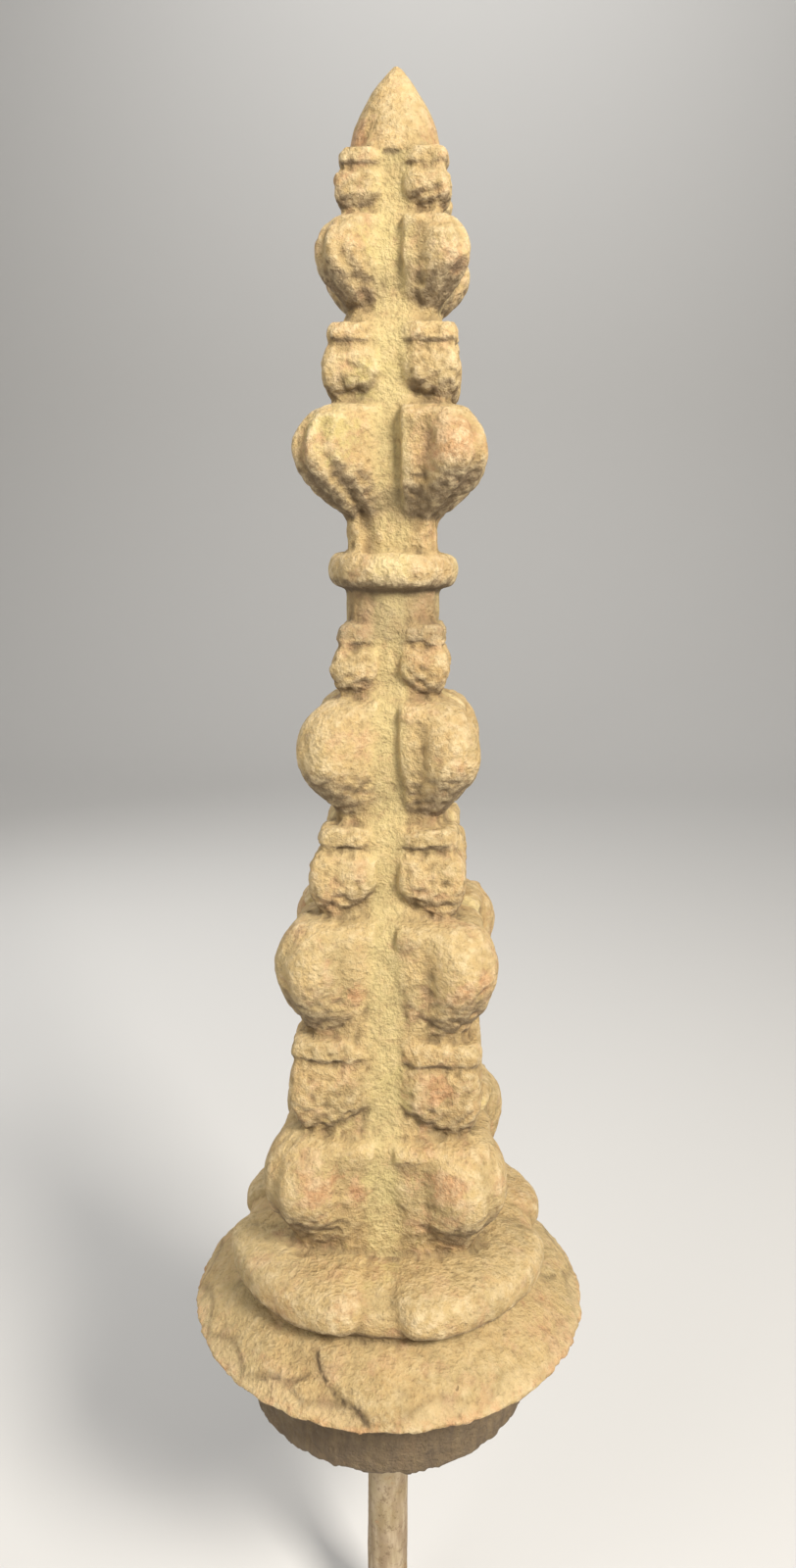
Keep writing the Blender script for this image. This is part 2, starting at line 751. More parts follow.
MASKS = SkinMasks()


def add_mask(mesh: bpy.types.Mesh, name: str, values: np.ndarray) -> None:
    """Store one value per vertex as a point attribute."""
    mask = mesh.attributes.new(name, "FLOAT", "POINT")
    mask.data.foreach_set("value", np.clip(values, 0.0, 1.0).astype(np.float32))


def read_places(mesh: bpy.types.Mesh) -> np.ndarray:
    """Return the vertex places as rows of x, y and z."""
    places = np.empty(3 * len(mesh.vertices), dtype=np.float64)
    mesh.vertices.foreach_get("co", places)
    return places.reshape(-1, 3)


def read_normals(mesh: bpy.types.Mesh) -> np.ndarray:
    """Return the vertex normals as rows of x, y and z."""
    normals = np.empty(3 * len(mesh.vertices), dtype=np.float32)
    mesh.vertex_normals.foreach_get("vector", normals)
    return normals.reshape(-1, 3).astype(np.float64)


def surface_lift(mesh: bpy.types.Mesh, rounds: int) -> np.ndarray:
    """Measure how far each vertex stands proud of the surface smoothed around it.

    Args:
        mesh: The mesh to read.
        rounds: How many times the places are averaged with their neighbours.

    Returns:
        One distance per vertex, positive on an edge and negative in a hollow.
    """
    places = read_places(mesh)
    edges = np.empty(2 * len(mesh.edges), dtype=np.int64)
    mesh.edges.foreach_get("vertices", edges)
    first, second = edges.reshape(-1, 2).T
    count = len(places)
    share = np.bincount(first, minlength=count) + np.bincount(second, minlength=count)
    share = np.maximum(share, 1)[:, None]
    smooth = places.copy()
    for _ in range(rounds):
        total = np.zeros_like(smooth)
        for axis in range(3):
            total[:, axis] = np.bincount(first, smooth[second, axis], count)
            total[:, axis] += np.bincount(second, smooth[first, axis], count)
        smooth = 0.5 * smooth + 0.5 * total / share
    return np.einsum("ij,ij->i", places - smooth, read_normals(mesh))


@dataclass(frozen=True)
class Casting:
    """The whole casting as one worn skin over the spire and the foot."""

    spire: Spire = Spire()
    foot: Foot = Foot()
    voxel: float = 0.00095
    lump_size: float = 0.0080
    pit_size: float = 0.0027
    chip_size: float = 0.0055
    lump_depth: float = 0.00050
    pit_depth: float = 0.00072
    chip_depth: float = 0.0017
    max_faces: int = 190000
    rust_spots: tuple[Spot, ...] = (
        Spot((-0.022, -0.042, 0.217), 0.008),
        Spot((-0.008, -0.036, 0.213), 0.006, 0.8),
        Spot((0.022, -0.042, 0.219), 0.008),
        Spot((0.014, -0.036, 0.232), 0.007, 0.8),
        Spot((0.021, -0.030, 0.466), 0.008),
        Spot((0.022, -0.022, 0.522), 0.007),
        Spot((0.026, -0.034, 0.288), 0.007),
        Spot((0.035, -0.033, 0.289), 0.008, 0.9),
        Spot((0.018, -0.034, 0.250), 0.007, 0.9),
        Spot((0.024, -0.030, 0.361), 0.003, 0.9),
        Spot((-0.037, 0.030, 0.295), 0.016, 0.7),
        Spot((-0.018, -0.020, 0.490), 0.006, 0.5),
        Spot((0.060, -0.030, 0.158), 0.020, 0.6),
        Spot((0.018, -0.018, 0.543), 0.006, 0.7),
        Spot((-0.011, -0.009, 0.566), 0.008, 0.8),
        Spot((0.012, -0.008, 0.563), 0.005, 0.6),
        Spot((-0.008, -0.033, 0.283), 0.006, 0.6),
        Spot((0.030, 0.036, 0.350), 0.012, 0.6),
        Spot((-0.020, 0.030, 0.460), 0.012, 0.7),
        Spot((0.020, 0.030, 0.215), 0.014, 0.7),
    )
    lichen_spots: tuple[Spot, ...] = (
        Spot((-0.018, -0.028, 0.470), 0.011),
        Spot((-0.010, -0.022, 0.484), 0.008, 0.8),
        Spot((0.000, -0.020, 0.492), 0.008, 0.6),
        Spot((-0.005, -0.018, 0.530), 0.009, 0.8),
        Spot((0.002, -0.028, 0.250), 0.010, 0.8),
        Spot((0.000, -0.032, 0.215), 0.010, 0.9),
        Spot((0.000, -0.042, 0.196), 0.012, 0.8),
        Spot((-0.014, -0.036, 0.234), 0.008, 0.6),
        Spot((0.000, -0.024, 0.275), 0.008, 0.6),
        Spot((0.012, 0.030, 0.230), 0.014, 0.8),
        Spot((0.030, 0.000, 0.300), 0.012, 0.6),
    )

    grooves: tuple[Groove, ...] = (
        Groove(
            (
                (-0.0200, 0.4720),
                (-0.0212, 0.4638),
                (-0.0168, 0.4556),
                (-0.0113, 0.4474),
                (-0.0081, 0.4392),
                (-0.0065, 0.4326),
            ),
            0.0040,
            0.0018,
        ),
        Groove(((-0.0165, 0.5342), (-0.0155, 0.5242), (-0.0102, 0.5175), (-0.0074, 0.5092)), 0.0034, 0.0011),
    )

    def joined(self) -> bpy.types.Object:
        """Return one object that holds every body, still overlapping."""
        whole = bmesh.new()
        for body in [*self.spire.bodies(), *self.foot.bodies()]:
            part_mesh = bpy.data.meshes.new("body")
            body.to_mesh(part_mesh)
            body.free()
            whole.from_mesh(part_mesh)
            bpy.data.meshes.remove(part_mesh)
        mesh = bpy.data.meshes.new("finial_skin")
        whole.to_mesh(mesh)
        whole.free()
        skin = bpy.data.objects.new("finial_skin", mesh)
        bpy.context.scene.collection.objects.link(skin)
        return skin

    def fuse(self, skin: bpy.types.Object) -> None:
        """Melt the overlapping bodies into one closed skin and round its edges a little."""
        remesh = skin.modifiers.new("fuse", "REMESH")
        remesh.mode = "VOXEL"
        remesh.voxel_size = self.voxel
        smooth = skin.modifiers.new("soften", "SMOOTH")
        smooth.factor = 0.5
        smooth.iterations = 1
        self.apply_modifiers(skin)

    @staticmethod
    def apply_modifiers(skin: bpy.types.Object) -> None:
        """Make the modifiers' result the object's own mesh."""
        depsgraph = bpy.context.evaluated_depsgraph_get()
        depsgraph.update()
        result = bpy.data.meshes.new_from_object(skin.evaluated_get(depsgraph))
        old = skin.data
        skin.modifiers.clear()
        skin.data = result
        bpy.data.meshes.remove(old)
        result.name = skin.name

    def coarseness(self, z: float, radius: float) -> float:
        """Return how coarse the sand-cast surface is at a place."""
        if z < self.foot.drum_bottom + self.foot.drum_height:
            return 0.80
        if z < self.foot.collar_seat + self.foot.collar_height:
            return 0.36 + 0.50 * self.foot.rim_mask(radius)
        if z > self.spire.tip_bottom + 0.004:
            return 0.60
        for tier, foot in self.spire.feet():
            if foot <= z < foot + tier.height:
                if isinstance(tier, Cup):
                    return 1.25
                return 0.95 - 0.42 * step_between(z - foot, tier.ball_foot, tier.reach_height)
        return 0.6

    def weather(self, mesh: bpy.types.Mesh) -> None:
        """Pit the surface, lump it softly and chip its edges."""
        places = read_places(mesh)
        normals = read_normals(mesh)
        proud = np.clip(surface_lift(mesh, 10) / 0.0007, 0.0, 1.0)
        moves = np.zeros(len(places))
        for index, (x, y, z) in enumerate(places):
            spot = Vector((x, y, z))
            coarse = self.coarseness(z, math.hypot(x, y))
            if z > self.spire.foot:
                coarse *= 0.30 + 0.70 * step_between(min(abs(x), abs(y)), 0.0035, 0.0070)
            lump = noise.noise(spot / self.lump_size)
            pit = noise.noise(spot / self.pit_size)
            pit *= 1.5 if pit < 0.0 else 0.5
            chip = max(0.0, noise.noise(spot / self.chip_size) + 0.05)
            cut = 0.0
            if z > self.spire.ring_top and normals[index, 1] < -0.3:
                cut = sum(groove.cut(x, z) for groove in self.grooves)
            moves[index] = (
                self.lump_depth * lump
                + self.pit_depth * coarse * pit
                - self.chip_depth * proud[index] * chip * coarse
                - cut
            )
        inside = 0.0002
        places += normals * (moves - inside)[:, None]
        low = self.foot.drum_bottom
        places[:, 2] = np.where(np.abs(places[:, 2] - low) < 0.0006, low + 0.0001, places[:, 2])
        mesh.vertices.foreach_set("co", places.astype(np.float32).ravel())
        mesh.update()

    def thin(self, skin: bpy.types.Object) -> None:
        """Bring the skin under its limit of faces."""
        faces = sum(len(face.vertices) - 2 for face in skin.data.polygons)
        if faces > self.max_faces:
            thinning = skin.modifiers.new("thin", "DECIMATE")
            thinning.ratio = self.max_faces / faces
            self.apply_modifiers(skin)

    def spot_mask(self, places: np.ndarray, spots: tuple[Spot, ...]) -> np.ndarray:
        """Return the strongest spot at each place, from 0 to 1."""
        mask = np.zeros(len(places))
        for spot in spots:
            distance = np.linalg.norm(places - np.array(spot.place), axis=1)
            mask = np.maximum(mask, spot.strength * np.exp(-((distance / spot.radius) ** 2)))
        return mask

    def mark(self, mesh: bpy.types.Mesh) -> None:
        """Store the masks that the finish reads."""
        places = read_places(mesh)
        fine = surface_lift(mesh, 6) / 0.00040
        broad = surface_lift(mesh, 40) / 0.0016
        add_mask(mesh, MASKS.edge, 0.5 * fine + 0.6 * broad)
        add_mask(mesh, MASKS.hollow, -0.5 * fine - 0.5 * broad)
        add_mask(mesh, MASKS.rust, self.spot_mask(places, self.rust_spots))
        add_mask(mesh, MASKS.lichen, self.spot_mask(places, self.lichen_spots))
        arches = np.zeros(len(places))
        creases = np.zeros(len(places))
        rims = np.zeros(len(places))
        rim_low = self.foot.drum_bottom + self.foot.drum_height
        for index, (x, y, z) in enumerate(places):
            radius = math.hypot(x, y)
            if rim_low < z < self.foot.collar_seat + 0.001 and radius > 0.0545:
                azimuth = math.degrees(math.atan2(x, -y))
                rims[index] = self.foot.rim_mask(radius)
                if z > rim_low + 0.0020:
                    arches[index] = self.foot.arch_mask(azimuth, radius)
                    creases[index] = self.foot.crease_mask(azimuth, radius) * (1.0 - rims[index])
        add_mask(mesh, MASKS.arch, arches)
        add_mask(mesh, MASKS.crease, creases)
        add_mask(mesh, MASKS.rim, rims)
        neck = (places[:, 2] > self.spire.neck_bottom - 0.004) & (places[:, 2] < self.spire.ring_bottom + 0.001)
        add_mask(mesh, MASKS.soot, np.maximum((rim_low + 0.0006 - places[:, 2]) / 0.0012, 0.38 * neck))
        beside = np.minimum(np.abs(places[:, 0]), np.abs(places[:, 1]))
        in_spire = (places[:, 2] > self.spire.foot) & (places[:, 2] < self.spire.tip_bottom)
        add_mask(mesh, MASKS.valley, in_spire * np.clip(1.6 - beside / 0.0060, 0.0, 1.0))

    def build(self) -> bpy.types.Object:
        """Return the finished skin of the casting."""
        skin = self.joined()
        self.fuse(skin)
        self.weather(skin.data)
        self.thin(skin)
        self.mark(skin.data)
        skin.data.shade_smooth()
        return skin


@dataclass(frozen=True)
class Rod:
    """The round fixing rod, a little uneven along its length."""

    radius: float = 0.0079
    length: float = 0.1480
    chamfer: float = 0.0010
    sides: int = 96
    rows: int = 180
    swell: float = 0.00022

    def build(self) -> bpy.types.Object:
        """Return the rod with its chamfered ends and its slow waviness."""
        levels = [(self.length, self.radius - self.chamfer)]
        for row in range(self.rows + 1):
            share = row / self.rows
            levels.append((self.length - self.chamfer - (self.length - 2.0 * self.chamfer) * share, self.radius))
        levels.append((0.0, self.radius - self.chamfer))
        rows = []
        for level, radius in levels:
            points = Ring(level, radius).points(self.sides)
            if self.chamfer < level < self.length - self.chamfer:
                for point in points:
                    wave = noise.noise(Vector((point.x * 90.0, point.y * 90.0, point.z * 60.0)))
                    dent = noise.noise(point * 380.0)
                    size = 1.0 + self.swell * (wave + 0.35 * dent - 0.5) / radius
                    point.x *= size
                    point.y *= size
            rows.append(points)
        rod = loft(rows)
        mesh = bpy.data.meshes.new("rod_bar")
        rod.to_mesh(mesh)
        rod.free()
        bar = bpy.data.objects.new("rod_bar", mesh)
        bpy.context.scene.collection.objects.link(bar)
        mesh.shade_smooth()
        mesh.set_sharp_from_angle(angle=math.radians(40.0))
        return bar


class NodeSheet:
    """Adds and joins the nodes of one node tree."""

    def __init__(self, tree: bpy.types.NodeTree) -> None:
        """Take the tree to fill."""
        self.tree = tree

    def add(self, kind: str, inputs: dict[str | int, object] | None = None, **settings: object) -> bpy.types.Node:
        """Add a node.

        Args:
            kind: The node's type name.
            inputs: What each input holds: a socket to join, or a plain value.
            settings: The node's own properties.

        Returns:
            The new node.
        """
        node = self.tree.nodes.new(kind)
        for name, value in settings.items():
            setattr(node, name, value)
        for name, value in (inputs or {}).items():
            self.feed(node.inputs[name], value)
        return node

    def feed(self, socket: bpy.types.NodeSocket, value: object) -> None:
        """Join a socket to an input, or set the input's own value."""
        if isinstance(value, bpy.types.NodeSocket):
            self.tree.links.new(value, socket)
        elif isinstance(value, Tint):
            socket.default_value = (*value.value, 1.0)
        else:
            socket.default_value = value

    def calc(self, operation: str, first: object, second: object = 0.0, clamp: bool = False) -> bpy.types.NodeSocket:
        """Return the result of one Math node."""
        node = self.add("ShaderNodeMath", {0: first, 1: second}, operation=operation, use_clamp=clamp)
        return node.outputs[0]

    def blend(self, factor: object, first: object, second: object, mode: str = "MIX") -> bpy.types.NodeSocket:
        """Return a mix of two colours."""
        node = self.add("ShaderNodeMix", {0: factor, 6: first, 7: second}, data_type="RGBA", blend_type=mode)
        return node.outputs[2]

    def ramp(self, value: object, low: float, high: float, floor: float = 0.0, top: float = 1.0) -> bpy.types.NodeSocket:
        """Return a value mapped smoothly from low..high to floor..top."""
        inputs = {"Value": value, "From Min": low, "From Max": high, "To Min": floor, "To Max": top}
        node = self.add("ShaderNodeMapRange", inputs, interpolation_type="SMOOTHSTEP")
        return node.outputs["Result"]

    def clouds(self, place: object, size: float, detail: float = 3.0, rough: float = 0.55) -> bpy.types.NodeSocket:
        """Return noise from 0 to 1 with features of a size in metres."""
        inputs = {"Vector": place, "Scale": 1.0 / size, "Detail": detail, "Roughness": rough}
        return self.add("ShaderNodeTexNoise", inputs).outputs["Fac"]

    def mask(self, name: str) -> bpy.types.NodeSocket:
        """Return a point attribute of the mesh."""
        return self.add("ShaderNodeAttribute", attribute_name=name).outputs["Fac"]


class SharedEffects:
    """The node groups that more than one finish uses."""

    def __init__(self) -> None:
        """Build every group once."""
        self.grain = self.build_grain()
        self.bloom = self.build_bloom()
        self.worn = self.build_worn()
        self.dust = self.build_dust()

    @staticmethod
    def open_group(name: str, inputs: tuple[tuple[str, str, float], ...], outputs: tuple[str, ...]) -> NodeSheet:
        """Start a group.

        Args:
            name: The group's name.
            inputs: Name, socket type and value of each input.
            outputs: Name of each value that it puts out.

        Returns:
            A sheet on the new tree, which has its input and output nodes.
        """
        tree = bpy.data.node_groups.new(name, "ShaderNodeTree")
        for label, kind, value in inputs:
            socket = tree.interface.new_socket(label, in_out="INPUT", socket_type=kind)
            if kind == "NodeSocketFloat":
                socket.default_value = value
        for label in outputs:
            tree.interface.new_socket(label, in_out="OUTPUT", socket_type="NodeSocketFloat")
        sheet = NodeSheet(tree)
        sheet.add("NodeGroupInput", name="in")
        sheet.add("NodeGroupOutput", name="out")
        return sheet

    def build_grain(self) -> bpy.types.NodeTree:
        """Return the sand-cast grain: a height and masks of its dark pits and pale crests."""
        inputs = (("Position", "NodeSocketVector", 0.0), ("Grain Size", "NodeSocketFloat", 0.0012))
        sheet = self.open_group("sand_cast_grain", inputs, ("Height", "Pits", "Crests"))
        source = sheet.tree.nodes["in"].outputs
        scale = sheet.calc("DIVIDE", 1.0, source["Grain Size"])
        coarse_scale = sheet.calc("MULTIPLY", scale, 0.42)
        fine = sheet.add(
            "ShaderNodeTexNoise", {"Vector": source["Position"], "Scale": scale, "Detail": 4.0, "Roughness": 0.62}
        ).outputs["Fac"]
        coarse = sheet.add(
            "ShaderNodeTexNoise",
            {"Vector": source["Position"], "Scale": coarse_scale, "Detail": 2.0, "Roughness": 0.5},
        ).outputs["Fac"]
        height = sheet.calc("MULTIPLY", sheet.calc("ADD", fine, coarse), 0.5)
        target = sheet.tree.nodes["out"].inputs
        sheet.feed(target["Height"], height)
        sheet.feed(target["Pits"], sheet.ramp(height, 0.49, 0.36))
        sheet.feed(target["Crests"], sheet.ramp(height, 0.51, 0.63))
        return sheet.tree

    def build_bloom(self) -> bpy.types.NodeTree:
        """Return patchy growth: a mask that spreads where a seed mask is strong."""
        inputs = (
            ("Position", "NodeSocketVector", 0.0),
            ("Patch Size", "NodeSocketFloat", 0.010),
            ("Seed", "NodeSocketFloat", 0.0),
            ("Cover", "NodeSocketFloat", 0.5),
        )
        sheet = self.open_group("patchy_bloom", inputs, ("Mask",))
        source = sheet.tree.nodes["in"].outputs
        scale = sheet.calc("DIVIDE", 1.0, source["Patch Size"])
        cloud = sheet.add(
            "ShaderNodeTexNoise", {"Vector": source["Position"], "Scale": scale, "Detail": 6.0, "Roughness": 0.68}
        ).outputs["Fac"]
        level = sheet.calc("ADD", cloud, sheet.calc("MULTIPLY", source["Seed"], 0.34))
        edge = sheet.calc("SUBTRACT", 0.95, sheet.calc("MULTIPLY", source["Cover"], 0.5))
        mask = sheet.calc("MULTIPLY", sheet.calc("SUBTRACT", level, edge), 8.0, clamp=True)
        sheet.feed(sheet.tree.nodes["out"].inputs["Mask"], mask)
        return sheet.tree

    def build_worn(self) -> bpy.types.NodeTree:
        """Return wear on edges: a mask broken up by small noise."""
        inputs = (
            ("Position", "NodeSocketVector", 0.0),
            ("Edge", "NodeSocketFloat", 0.0),
            ("Amount", "NodeSocketFloat", 1.0),
        )
        sheet = self.open_group("edge_wear", inputs, ("Mask",))
        source = sheet.tree.nodes["in"].outputs
        cloud = sheet.clouds(source["Position"], 0.0035, 5.0, 0.7)
        broken = sheet.calc("MULTIPLY", source["Edge"], sheet.ramp(cloud, 0.38, 0.66))
        mask = sheet.calc("MULTIPLY", broken, source["Amount"], clamp=True)
        sheet.feed(sheet.tree.nodes["out"].inputs["Mask"], mask)
        return sheet.tree

    def build_dust(self) -> bpy.types.NodeTree:
        """Return dust that lies on faces turned up, and a mask of faces turned down."""
        inputs = (("Position", "NodeSocketVector", 0.0), ("Amount", "NodeSocketFloat", 1.0))
        sheet = self.open_group("settled_dust", inputs, ("Dust", "Underside"))
        source = sheet.tree.nodes["in"].outputs
        normal = sheet.add("ShaderNodeNewGeometry").outputs["Normal"]
        up = sheet.add("ShaderNodeSeparateXYZ", {0: normal}).outputs["Z"]
        cloud = sheet.clouds(source["Position"], 0.0060, 5.0, 0.65)
        lying = sheet.calc("MULTIPLY", sheet.ramp(up, 0.15, 0.95), sheet.ramp(cloud, 0.30, 0.62))
        target = sheet.tree.nodes["out"].inputs
        sheet.feed(target["Dust"], sheet.calc("MULTIPLY", lying, source["Amount"], clamp=True))
        sheet.feed(target["Underside"], sheet.ramp(up, -0.05, -0.65))
        return sheet.tree


@dataclass(frozen=True)
class CastFinish:
    """Rusted sand-cast iron under a sandy patina, with lichen, dust and pale worn edges."""

    name: str = "weathered_cast_iron"
    grain_size: float = 0.0012
    grain_depth: float = 0.0028
    roughness: float = 0.86

    def build(self, effects: SharedEffects) -> bpy.types.Material:
        """Return the material of the casting."""
        material = bpy.data.materials.new(self.name)
        material.use_nodes = True
        sheet = NodeSheet(material.node_tree)
        shader = material.node_tree.nodes["Principled BSDF"]
        place = sheet.add("ShaderNodeTexCoord").outputs["Object"]
        grain = sheet.add("ShaderNodeGroup", node_tree=effects.grain)
        sheet.feed(grain.inputs["Position"], place)
        grain.inputs["Grain Size"].default_value = self.grain_size
        dust = sheet.add("ShaderNodeGroup", node_tree=effects.dust)
        sheet.feed(dust.inputs["Position"], place)
        dust.inputs["Amount"].default_value = 0.35
        worn = sheet.add("ShaderNodeGroup", node_tree=effects.worn)
        sheet.feed(worn.inputs["Position"], place)
        sheet.feed(worn.inputs["Edge"], sheet.mask(MASKS.edge))
        worn.inputs["Amount"].default_value = 0.75
        color = self.patina(sheet, place)
        rust = sheet.calc("MULTIPLY", self.bloom(sheet, effects, place, MASKS.rust, 0.007, 0.62), 0.65)
        color = sheet.blend(rust, color, self.rust_color(sheet, place))
        lichen = sheet.calc("MULTIPLY", self.bloom(sheet, effects, place, MASKS.lichen, 0.006, 0.60), 0.6)
        color = sheet.blend(lichen, color, Tint.LICHEN)
        valley = sheet.ramp(sheet.mask(MASKS.valley), 0.2, 1.0)
        strewn = sheet.ramp(sheet.clouds(place, 0.004), 0.30, 0.62, 0.35, 0.80)
        color = sheet.blend(sheet.calc("MULTIPLY", valley, strewn), color, Tint.STRAW)
        color = sheet.blend(dust.outputs["Dust"], color, Tint.DUST)
        color = sheet.blend(sheet.calc("MULTIPLY", dust.outputs["Underside"], 0.85), color, Tint.ASH)
        color = sheet.blend(sheet.calc("MULTIPLY", sheet.mask(MASKS.arch), 0.25), color, Tint.PALE)
        color = sheet.blend(worn.outputs["Mask"], color, Tint.PALE)
        rusty = sheet.ramp(sheet.clouds(place, 0.0050, 5.0, 0.7), 0.44, 0.60, 0.0, 0.45)
        color = sheet.blend(sheet.calc("MULTIPLY", sheet.mask(MASKS.rim), rusty), color, Tint.EMBER)
        color = sheet.blend(sheet.calc("MULTIPLY", grain.outputs["Crests"], 0.20), color, Tint.PALE)
        color = sheet.blend(sheet.calc("MULTIPLY", grain.outputs["Pits"], 0.26), color, Tint.UMBER)
        swept = sheet.calc("SUBTRACT", 0.60, sheet.calc("MULTIPLY", valley, 0.32))
        color = sheet.blend(sheet.calc("MULTIPLY", sheet.mask(MASKS.hollow), swept), color, Tint.PIT)
        color = sheet.blend(sheet.calc("MULTIPLY", sheet.mask(MASKS.crease), 0.95), color, Tint.PIT)
        streaked = sheet.add("ShaderNodeMapping", {"Vector": place, "Scale": (1.0, 1.0, 0.24)}).outputs["Vector"]
        streaks = sheet.ramp(sheet.clouds(streaked, 0.0032, 5.0, 0.7), 0.35, 0.65, 0.84, 1.0)
        color = sheet.blend(sheet.calc("MULTIPLY", sheet.mask(MASKS.soot), streaks), color, Tint.ASH)
        sheet.feed(shader.inputs["Base Color"], color)
        rough = sheet.calc("SUBTRACT", self.roughness, sheet.calc("MULTIPLY", worn.outputs["Mask"], 0.22))
        sheet.feed(shader.inputs["Roughness"], rough)
        shader.inputs["Specular IOR Level"].default_value = 0.35
        relief = sheet.add("ShaderNodeBump", {"Height": grain.outputs["Height"], "Distance": self.grain_depth})
        relief.inputs["Strength"].default_value = 1.0
        sheet.feed(shader.inputs["Normal"], relief.outputs["Normal"])
        return material

    def patina(self, sheet: NodeSheet, place: bpy.types.NodeSocket) -> bpy.types.NodeSocket:
        """Return the sandy patina, cloudy at three scales."""
        broad = sheet.ramp(sheet.clouds(place, 0.060, 4.0), 0.36, 0.64)
        middle = sheet.ramp(sheet.clouds(place, 0.014, 5.0, 0.65), 0.36, 0.64)
        small = sheet.ramp(sheet.clouds(place, 0.0030, 4.0, 0.7), 0.34, 0.66)
        blush = sheet.ramp(sheet.clouds(place, 0.0105, 5.0, 0.7), 0.50, 0.66, 0.0, 0.62)
        color = sheet.blend(broad, Tint.OCHRE, Tint.SAND)
        color = sheet.blend(sheet.calc("MULTIPLY", middle, 0.60), color, Tint.OLIVE)
        color = sheet.blend(sheet.calc("MULTIPLY", small, 0.40), color, Tint.SAND)
        return sheet.blend(blush, color, Tint.BLUSH)

    def rust_color(self, sheet: NodeSheet, place: bpy.types.NodeSocket) -> bpy.types.NodeSocket:
        """Return the rust's colour, from dark red-brown to orange."""
        return sheet.blend(sheet.ramp(sheet.clouds(place, 0.0025, 4.0), 0.40, 0.62), Tint.RUST, Tint.EMBER)

    def bloom(
        self,
        sheet: NodeSheet,
        effects: SharedEffects,
        place: bpy.types.NodeSocket,
        seed: str,
        size: float,
        cover: float,
    ) -> bpy.types.NodeSocket:
        """Return the mask of one patchy growth round its seed spots."""
        node = sheet.add("ShaderNodeGroup", node_tree=effects.bloom)
        sheet.feed(node.inputs["Position"], place)
        sheet.feed(node.inputs["Seed"], sheet.mask(seed))
        node.inputs["Patch Size"].default_value = size
        node.inputs["Cover"].default_value = cover
        return node.outputs["Mask"]


@dataclass(frozen=True)
class RodFinish:
    """Brown rust on a drawn bar, smoother than the casting, with pale streaks along it."""

    name: str = "weathered_rod_iron"
    grain_size: float = 0.0009
    grain_depth: float = 0.00010
    roughness: float = 0.68

    def build(self, effects: SharedEffects) -> bpy.types.Material:
        """Return the material of the rod."""
        material = bpy.data.materials.new(self.name)
        material.use_nodes = True
        sheet = NodeSheet(material.node_tree)
        shader = material.node_tree.nodes["Principled BSDF"]
        place = sheet.add("ShaderNodeTexCoord").outputs["Object"]
        drawn = sheet.add("ShaderNodeMapping", {"Vector": place, "Scale": (1.0, 1.0, 0.16)}).outputs["Vector"]
        grain = sheet.add("ShaderNodeGroup", node_tree=effects.grain)
        sheet.feed(grain.inputs["Position"], place)
        grain.inputs["Grain Size"].default_value = self.grain_size
        streaks = sheet.ramp(sheet.clouds(drawn, 0.0030, 4.0, 0.6), 0.38, 0.66)
        patches = sheet.ramp(sheet.clouds(place, 0.012, 5.0, 0.6), 0.42, 0.66)
        color = sheet.blend(streaks, Tint.ROD_BROWN, Tint.ROD_PALE)
        color = sheet.blend(sheet.calc("MULTIPLY", patches, 0.45), color, Tint.OLIVE)
        rust = sheet.add("ShaderNodeGroup", node_tree=effects.bloom)
        sheet.feed(rust.inputs["Position"], place)
        rust.inputs["Patch Size"].default_value = 0.006
        rust.inputs["Cover"].default_value = 0.70
        color = sheet.blend(sheet.calc("MULTIPLY", rust.outputs["Mask"], 0.6), color, Tint.RUST)
        color = sheet.blend(sheet.calc("MULTIPLY", grain.outputs["Pits"], 0.6), color, Tint.UMBER)
        sheet.feed(shader.inputs["Base Color"], color)
        rough = sheet.calc("ADD", self.roughness, sheet.calc("MULTIPLY", patches, 0.15))
        sheet.feed(shader.inputs["Roughness"], rough)
        shader.inputs["Specular IOR Level"].default_value = 0.45
        relief = sheet.add("ShaderNodeBump", {"Height": grain.outputs["Height"], "Distance": self.grain_depth})
        sheet.feed(shader.inputs["Normal"], relief.outputs["Normal"])
        return material


@dataclass(frozen=True)
class Lamp:
    """One soft area light."""

    name: str
    place: tuple[float, float, float]
    power: float
    size: float
    color: tuple[float, float, float] = (1.0, 1.0, 1.0)
    aim: tuple[float, float, float] = (0.0, 0.0, 0.33)


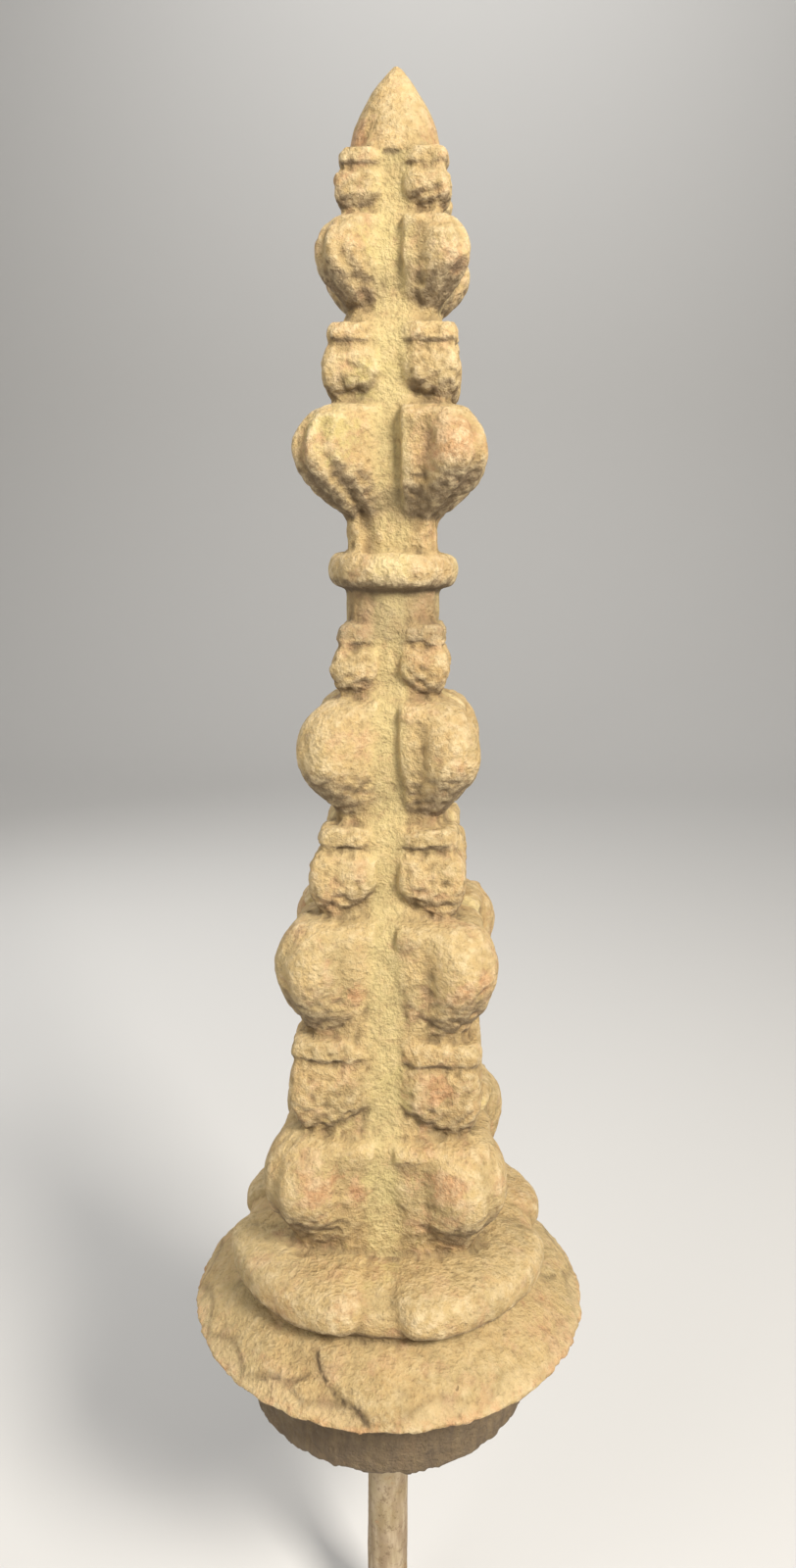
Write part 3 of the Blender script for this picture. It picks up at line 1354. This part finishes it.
@dataclass(frozen=True)
class Studio:
    """The pale floor, the soft lights and the camera at the photograph's viewing angle."""

    eye_distance: float = 0.3835
    eye_height: float = 0.4321
    pitch: float = 8.09
    azimuth: float = 3.5
    roll: float = 0.32
    lens: float = 25.09
    shift_x: float = 0.0036
    shift_y: float = -0.0508
    floor_size: float = 9.0
    sweep_start: float = 1.6
    sweep_radius: float = 0.8
    lamps: tuple[Lamp, ...] = (
        Lamp("key", (0.62, -0.76, 1.00), 23.0, 0.34, (1.0, 0.955, 0.89)),
        Lamp("fill", (-0.85, -0.75, 0.85), 6.0, 0.90, (1.0, 0.98, 0.96)),
        Lamp("rim", (-0.55, 0.80, 0.90), 5.0, 0.60),
        Lamp("wash", (0.0, 1.3, 2.2), 15.0, 1.40, (1.0, 1.0, 1.0), (0.0, 2.6, 0.7)),
    )

    def build(self) -> None:
        """Set the stage, the lights and the camera."""
        self.lay_floor()
        for lamp in self.lamps:
            self.hang_lamp(lamp)
        self.light_room()
        self.place_camera()
        bpy.context.scene.view_settings.view_transform = "Standard"

    def lay_floor(self) -> None:
        """Lay the plain pale floor under the rod's end, and sweep it up far behind."""
        ground = bmesh.new()
        bmesh.ops.create_grid(ground, x_segments=1, y_segments=90, size=0.5 * self.floor_size)
        for vert in ground.verts:
            beyond = vert.co.y - self.sweep_start
            if beyond > 0.0:
                angle = min(beyond / self.sweep_radius, QUARTER_TURN)
                vert.co.y = self.sweep_start + self.sweep_radius * math.sin(angle)
                vert.co.z = self.sweep_radius * (1.0 - math.cos(angle) - angle) + beyond
        mesh = bpy.data.meshes.new("studio_floor")
        ground.to_mesh(mesh)
        ground.free()
        mesh.shade_smooth()
        floor = bpy.data.objects.new("studio_floor", mesh)
        bpy.context.scene.collection.objects.link(floor)
        material = bpy.data.materials.new("pale_floor")
        material.use_nodes = True
        shader = material.node_tree.nodes["Principled BSDF"]
        shader.inputs["Base Color"].default_value = (*Tint.FLOOR.value, 1.0)
        shader.inputs["Roughness"].default_value = 0.9
        mesh.materials.append(material)

    def hang_lamp(self, lamp: Lamp) -> None:
        """Hang one area light, turned to what it lights."""
        light = bpy.data.lights.new(lamp.name, "AREA")
        light.energy = lamp.power
        light.size = lamp.size
        light.color = lamp.color
        item = bpy.data.objects.new(lamp.name, light)
        bpy.context.scene.collection.objects.link(item)
        item.location = lamp.place
        beam = Vector(lamp.aim) - Vector(lamp.place)
        item.rotation_euler = beam.to_track_quat("-Z", "Y").to_euler()

    def light_room(self) -> None:
        """Give the room a soft even light."""
        world = bpy.data.worlds.new("studio_air")
        world.use_nodes = True
        air = world.node_tree.nodes["Background"]
        air.inputs["Color"].default_value = (0.92, 0.91, 0.90, 1.0)
        air.inputs["Strength"].default_value = 0.22
        bpy.context.scene.world = world

    def place_camera(self) -> None:
        """Set the camera at the photograph's viewing angle."""
        camera = bpy.data.cameras.new("photo_view")
        camera.sensor_fit = "VERTICAL"
        camera.sensor_height = 36.0
        camera.lens = self.lens
        camera.shift_x = self.shift_x
        camera.shift_y = self.shift_y
        item = bpy.data.objects.new("photo_view", camera)
        bpy.context.scene.collection.objects.link(item)
        turn = Matrix.Rotation(math.radians(self.azimuth), 4, "Z")
        stand = Matrix.Translation((0.0, -self.eye_distance, self.eye_height))
        tilt = Matrix.Rotation(math.radians(90.0 - self.pitch), 4, "X")
        lean = Matrix.Rotation(math.radians(self.roll), 4, "Z")
        item.matrix_world = turn @ stand @ tilt @ lean
        bpy.context.scene.camera = item


def main() -> None:
    """Build and dress every piece, then set the studio."""
    logging.basicConfig(level=logging.INFO, format="%(name)s: %(message)s")
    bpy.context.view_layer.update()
    effects = SharedEffects()
    skin = Casting().build()
    skin.data.materials.append(CastFinish().build(effects))
    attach(skin, "root")
    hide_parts("finial_casting")
    LOG.info("casting: %d faces", len(skin.data.polygons))
    bar = Rod().build()
    bar.data.materials.append(RodFinish().build(effects))
    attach(bar, "root")
    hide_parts("fixing_rod")
    LOG.info("rod: %d faces", len(bar.data.polygons))
    Studio().build()


if __name__ == "__main__":
    main()
